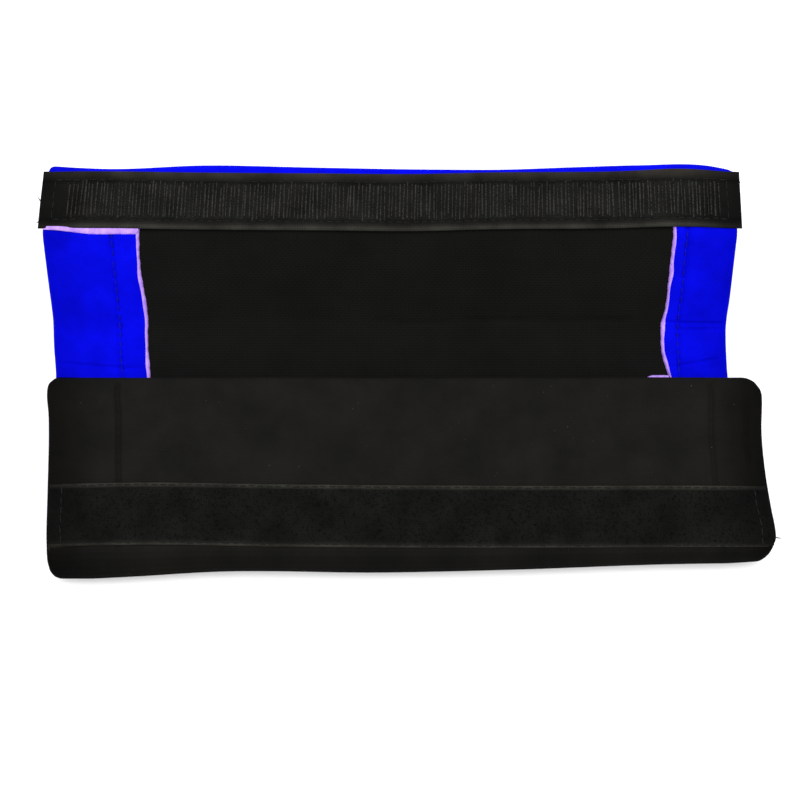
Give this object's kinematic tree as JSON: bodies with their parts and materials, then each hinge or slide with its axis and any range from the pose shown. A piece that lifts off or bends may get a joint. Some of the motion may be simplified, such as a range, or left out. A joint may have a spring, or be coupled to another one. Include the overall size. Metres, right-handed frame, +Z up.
{
  "type": "harness shoulder pad",
  "caption": "Padded sleeve that folds round a harness shoulder strap and closes along its length with hook-and-loop tape, shown half open.",
  "frame": {"origin": "centre of the back panel's underside, on the surface that the pad lies on", "axes": "+X along the pad and the strap, +Y from the bottom fold to the flap, +Z up from the surface"},
  "size_m": [0.2828, 0.1612, 0.0408],
  "materials": {
    "blue_cover": "bright blue woven polyester laminated to thin foam",
    "black_cover": "black woven polyester laminated to thin foam",
    "foam": "white polyurethane foam sheet",
    "lining": "black brushed knit",
    "tape": "black woven nylon tape",
    "hooks": "black moulded nylon hooks",
    "pile": "black napped nylon loops",
    "thread": "black sewing thread"
  },
  "bodies": {
    "back": {"back_cover": "blue_cover", "back_foam": "foam", "back_lining": "lining", "back_left_hem": "blue_cover", "back_right_hem": "blue_cover", "back_hem_stitching": "thread"},
    "top_fold": {"top_fold_cover": "blue_cover", "top_fold_foam": "foam", "top_fold_lining": "lining", "top_fold_left_hem": "blue_cover", "top_fold_right_hem": "blue_cover", "top_fold_hem_stitching": "thread"},
    "flap": {"flap_cover": "blue_cover", "flap_foam": "foam", "flap_lining": "lining", "flap_left_hem": "blue_cover", "flap_right_hem": "blue_cover", "flap_hem_stitching": "thread"},
    "flap_edge": {"flap_edge_cover": "blue_cover", "flap_edge_foam": "foam", "flap_edge_lining": "lining", "flap_edge_hem": "blue_cover", "hook_tape": "tape", "hook_field": "hooks", "hook_tape_stitching": "thread"},
    "bottom_fold": {"bottom_fold_cover": "blue_cover", "bottom_fold_foam": "foam", "bottom_fold_lining": "lining", "bottom_fold_left_hem": "blue_cover", "bottom_fold_right_hem": "blue_cover", "bottom_fold_hem_stitching": "thread"},
    "front": {"front_cover": "black_cover", "front_foam": "foam", "front_lining": "lining", "front_left_hem": "black_cover", "front_right_hem": "black_cover", "front_hem_stitching": "thread", "front_edge_hem": "black_cover", "loop_tape": "tape", "loop_pile": "pile", "loop_tape_stitching": "thread"}
  },
  "joints": [
    {"name": "top_fold_hinge", "type": "hinge", "parent": "back", "child": "top_fold", "pos_m": [0, 0.0775, 0.005], "axis": [1, 0, 0], "range_deg": [-12, 70]},
    {"name": "flap_fold", "type": "hinge", "parent": "top_fold", "child": "flap", "pos_m": [0, 0.0977, 0.01079], "axis": [1, 0, 0], "range_deg": [-12.95, 75.51]},
    {"name": "flap_edge_flex", "type": "hinge", "parent": "flap", "child": "flap_edge", "pos_m": [0, 0.12887, 0.03042], "axis": [1, 0, 0], "range_deg": [-5.15, 30.01]},
    {"name": "bottom_fold_hinge", "type": "hinge", "parent": "back", "child": "bottom_fold", "pos_m": [0, 0, 0.005], "axis": [-1, 0, 0], "range_deg": [-81.3, 3]},
    {"name": "front_fold", "type": "hinge", "parent": "bottom_fold", "child": "front", "pos_m": [0, -0.00024, 0.00999], "axis": [-1, 0, 0], "range_deg": [-81.31, 3.01]}
  ],
  "couplings": [
    {"joint": "flap_fold", "follows": "top_fold_hinge", "ratio": 1.0786},
    {"joint": "flap_edge_flex", "follows": "top_fold_hinge", "ratio": 0.42857},
    {"joint": "front_fold", "follows": "bottom_fold_hinge", "ratio": 1}
  ]
}
